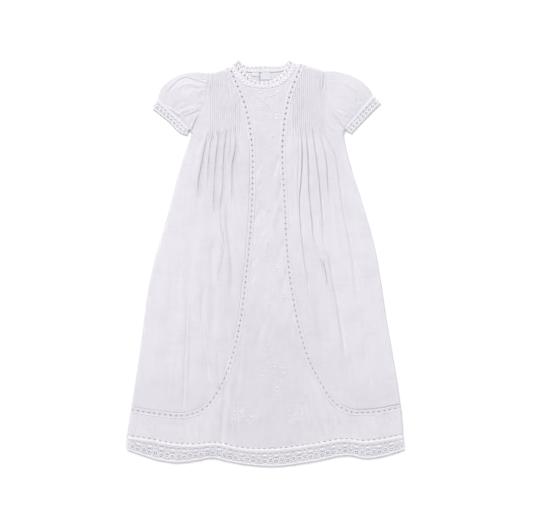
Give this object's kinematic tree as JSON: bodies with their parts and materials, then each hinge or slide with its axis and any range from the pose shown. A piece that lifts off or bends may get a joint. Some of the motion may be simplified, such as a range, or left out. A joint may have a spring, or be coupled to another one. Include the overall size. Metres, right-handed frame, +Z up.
{
  "type": "baby christening gown",
  "caption": "Long lace-trimmed christening gown laid flat, with short puffed sleeves, a pintucked yoke and lace let in down the front.",
  "frame": {"origin": "middle of the gown's bounding box, on the surface it lies on", "axes": "+X to the gown's right edge as seen from above, +Y along the gown towards the neck, +Z up out of the front"},
  "size_m": [0.4616, 0.6774, 0.0069],
  "materials": {
    "batiste": "fine plain weave, matte",
    "lace": "cotton lace, matte",
    "tape": "woven tape, slight sheen"
  },
  "bodies": {
    "root": {"front_centre": "batiste", "side_front_left": "batiste", "side_front_right": "batiste", "back": "batiste", "sleeve_left": "batiste", "sleeve_right": "batiste", "insertion_left": "lace", "insertion_right": "lace", "hem_beading_front": "lace", "hem_beading_back": "lace", "hem_lace_front": "lace", "hem_lace_back": "lace", "neck_band": "lace", "neck_ruffle": "lace", "sleeve_lace_left": "lace", "sleeve_lace_right": "lace", "cuff_left": "tape", "cuff_right": "tape", "label_left": "tape", "label_right": "tape"}
  },
  "joints": []
}
